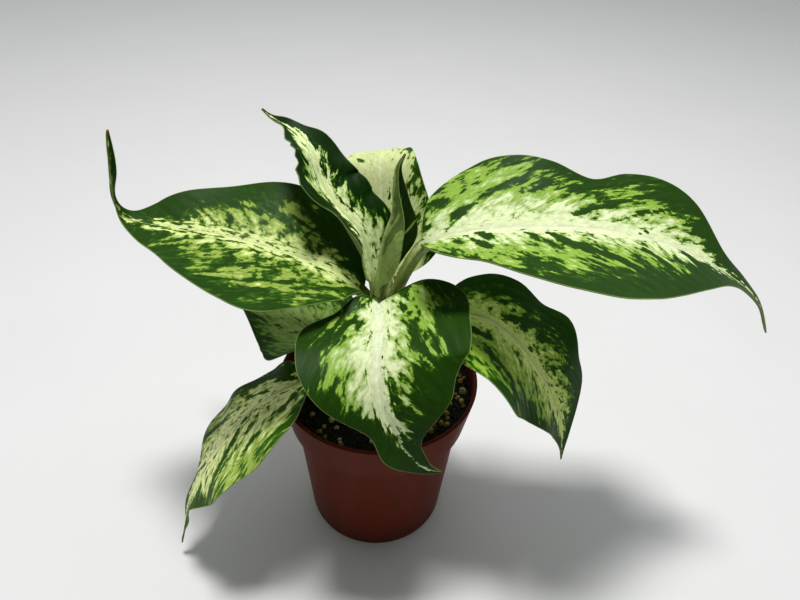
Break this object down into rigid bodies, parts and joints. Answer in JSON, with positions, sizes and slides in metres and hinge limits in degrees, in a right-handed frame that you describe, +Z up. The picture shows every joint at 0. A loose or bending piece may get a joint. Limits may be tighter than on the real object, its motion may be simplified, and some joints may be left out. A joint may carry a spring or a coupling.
{
  "type": "potted house plant",
  "caption": "Young dieffenbachia with broad variegated leaves on a short stem, growing in a round plastic nursery pot of potting mix.",
  "frame": {"origin": "centre of the pot's flat underside, on the surface it stands on", "axes": "+Z up along the pot's axis, +X towards the largest leaf, +Y away from the side the plant is viewed from"},
  "size_m": [0.3028, 0.1603, 0.2252],
  "materials": {
    "pot_plastic": "satin moulded polypropylene, reddish brown",
    "potting_mix": "moist dark peat with pale porous granules",
    "stem_tissue": "smooth pale green living stem",
    "leaf_right_blade": "glossy living leaf, cream centre mottled into a deep green border",
    "leaf_left_blade": "glossy living leaf, cream centre mottled into a deep green border",
    "leaf_upper_left_blade": "glossy living leaf, cream centre mottled into a deep green border",
    "leaf_back_blade": "glossy living leaf, cream centre mottled into a deep green border",
    "leaf_spear_blade": "glossy living leaf, cream centre mottled into a deep green border",
    "leaf_front_blade": "glossy living leaf, cream centre mottled into a deep green border",
    "leaf_lower_right_blade": "glossy living leaf, cream centre mottled into a deep green border",
    "leaf_lower_left_blade": "glossy living leaf, cream centre mottled into a deep green border",
    "leaf_back_left_blade": "glossy living leaf, cream centre mottled into a deep green border"
  },
  "bodies": {
    "root": {"pot": "pot_plastic", "soil": "potting_mix", "stem": "stem_tissue", "leaf_right": "leaf_right_blade", "leaf_left": "leaf_left_blade", "leaf_upper_left": "leaf_upper_left_blade", "leaf_back": "leaf_back_blade", "leaf_spear": "leaf_spear_blade", "leaf_front": "leaf_front_blade", "leaf_lower_right": "leaf_lower_right_blade", "leaf_lower_left": "leaf_lower_left_blade", "leaf_back_left": "leaf_back_left_blade"}
  },
  "joints": []
}
